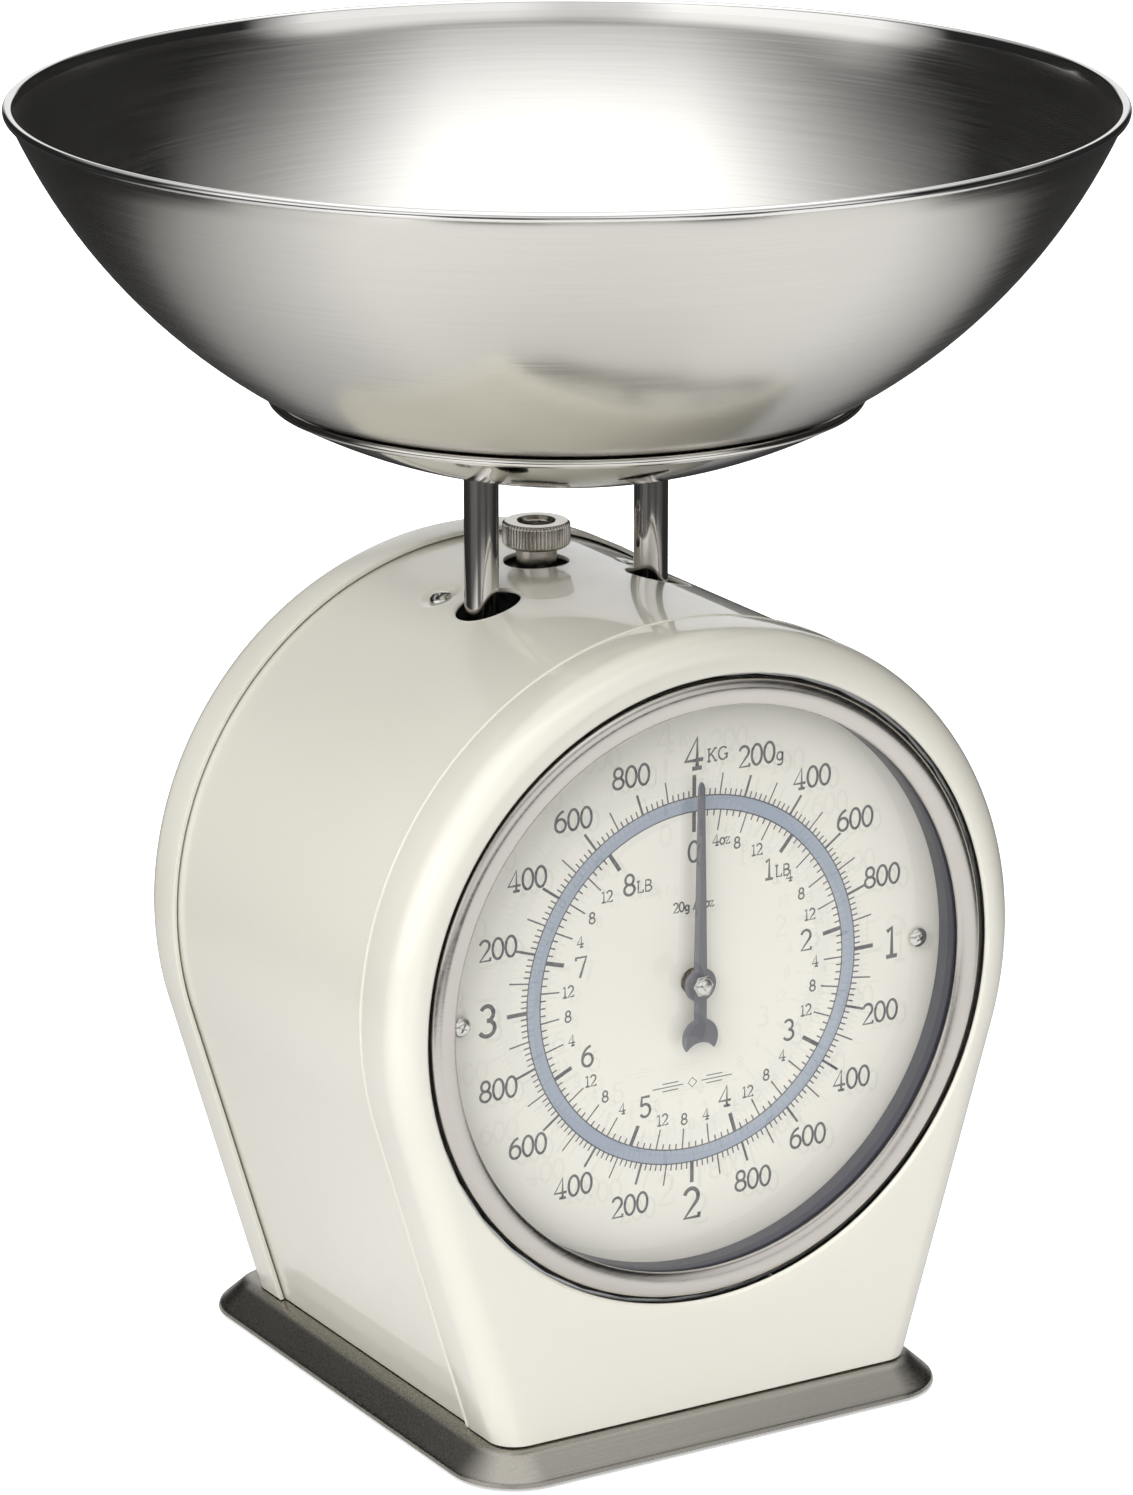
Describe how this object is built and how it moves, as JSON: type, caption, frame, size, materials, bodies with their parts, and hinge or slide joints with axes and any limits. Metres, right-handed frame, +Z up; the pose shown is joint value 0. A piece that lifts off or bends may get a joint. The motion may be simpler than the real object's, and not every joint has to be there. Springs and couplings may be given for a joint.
{
  "type": "mechanical kitchen scale",
  "caption": "Retro spring kitchen scale: arched enamelled case on a brushed base, round dial with a turning pointer, and a lift-off steel bowl on a platform dish.",
  "frame": {"origin": "centre of the bowl's axis on the plane that the feet stand on", "axes": "+Z up, -Y out of the dial face, +X to the right of someone who faces the dial"},
  "size_m": [0.285, 0.285, 0.3392],
  "materials": {
    "cream_enamel": "gloss cream stove enamel",
    "bowl_steel": "fine circular satin brushing outside, near-mirror inside",
    "dish_steel": "mirror-polished stainless steel",
    "post_steel": "polished stainless steel rod",
    "knob_steel": "turned and knurled steel",
    "base_steel": "long-grain brushed stainless steel",
    "bezel_steel": "satin stainless steel",
    "rubber": "matt black rubber",
    "lens_glass": "clear flat lens",
    "dial_enamel": "satin cream with grey print",
    "spacer_grey": "matt dark grey plastic",
    "pointer_grey": "dark grey paint",
    "bright_screw": "bright nickel plate",
    "zinc_plate": "zinc-plated pressed steel",
    "gear_brass": "cut brass",
    "spring_steel": "oiled spring wire"
  },
  "bodies": {
    "case": {"base_plate": "base_steel", "foot_front_left": "rubber", "foot_front_right": "rubber", "foot_rear_left": "rubber", "foot_rear_right": "rubber", "base_screw_front": "zinc_plate", "base_screw_rear": "zinc_plate", "chassis": "zinc_plate", "case_wrap": "cream_enamel", "front_cover": "cream_enamel", "rear_cover": "cream_enamel", "rear_screw_upper": "zinc_plate", "rear_screw_lower": "zinc_plate", "case_screw_left": "bright_screw", "case_screw_right": "bright_screw", "bezel": "bezel_steel", "dial_lens": "lens_glass", "dial_spacer": "spacer_grey", "dial_housing": "zinc_plate", "dial_plate": "dial_enamel", "dial_screw_left": "bright_screw", "dial_screw_right": "bright_screw", "dial_bracket": "zinc_plate", "front_bearing": "gear_brass", "rear_bearing": "gear_brass", "top_bridge": "zinc_plate", "bridge_screw_left": "zinc_plate", "bridge_screw_right": "zinc_plate", "upper_pivot_pin": "bright_screw", "lower_pivot_pin": "bright_screw", "left_spring": "spring_steel", "right_spring": "spring_steel"},
    "carriage": {"platform_dish": "dish_steel", "dish_screw_left": "bright_screw", "dish_screw_right": "bright_screw", "left_post": "post_steel", "right_post": "post_steel", "upper_crossbar": "zinc_plate", "post_screw_left": "zinc_plate", "post_screw_right": "zinc_plate", "left_link": "zinc_plate", "right_link": "zinc_plate", "lower_crossbar": "zinc_plate", "spring_bar": "zinc_plate", "upper_carriage_pin": "bright_screw", "lower_carriage_pin": "bright_screw", "rack_arm": "zinc_plate", "arm_screw": "zinc_plate", "rack": "gear_brass"},
    "bowl": {"bowl": "bowl_steel"},
    "pointer": {"pinion": "gear_brass", "pointer": "pointer_grey", "pointer_nut": "bright_screw"},
    "upper_arm": {"upper_arm": "zinc_plate"},
    "lower_arm": {"lower_arm": "zinc_plate"},
    "zero_knob": {"zero_knob": "knob_steel"},
    "spring_hanger": {"zero_rod": "zinc_plate", "hanger_bar": "zinc_plate", "hanger_nut": "zinc_plate"}
  },
  "joints": [
    {"name": "weighing_slide", "type": "slide", "parent": "case", "child": "carriage", "axis": [0, 0, -1], "range_m": [0, 0.0157], "stiffness_N_per_m": 2500, "springref_m": -0.0042, "deforming": ["left_spring", "right_spring"]},
    {"name": "bowl_lift", "type": "slide", "parent": "carriage", "child": "bowl", "axis": [0, 0, 1], "range_m": [0, 0.12]},
    {"name": "pointer_turn", "type": "hinge", "parent": "case", "child": "pointer", "pos_m": [0, -0.0545, 0.1212], "axis": [0, 1, 0], "range_deg": [0, 360]},
    {"name": "upper_arm_hinge", "type": "hinge", "parent": "case", "child": "upper_arm", "pos_m": [0, 0.038, 0.15], "axis": [1, 0, 0], "range_deg": [0, 20]},
    {"name": "lower_arm_hinge", "type": "hinge", "parent": "case", "child": "lower_arm", "pos_m": [0, 0.038, 0.072], "axis": [1, 0, 0], "range_deg": [0, 20]},
    {"name": "zero_knob_turn", "type": "hinge", "parent": "case", "child": "zero_knob", "pos_m": [0, 0.0156, 0.2248], "axis": [0, 0, 1], "range_deg": [-720, 720]},
    {"name": "hanger_slide", "type": "slide", "parent": "case", "child": "spring_hanger", "axis": [0, 0, 1], "range_m": [-0.00142, 0.00142]}
  ],
  "couplings": [
    {"joint": "pointer_turn", "follows": "weighing_slide", "rad_per_m": 400},
    {"joint": "upper_arm_hinge", "follows": "weighing_slide", "rad_per_m": 22},
    {"joint": "lower_arm_hinge", "follows": "weighing_slide", "rad_per_m": 22},
    {"joint": "hanger_slide", "follows": "zero_knob_turn", "m_per_rad": -0.0001114}
  ]
}
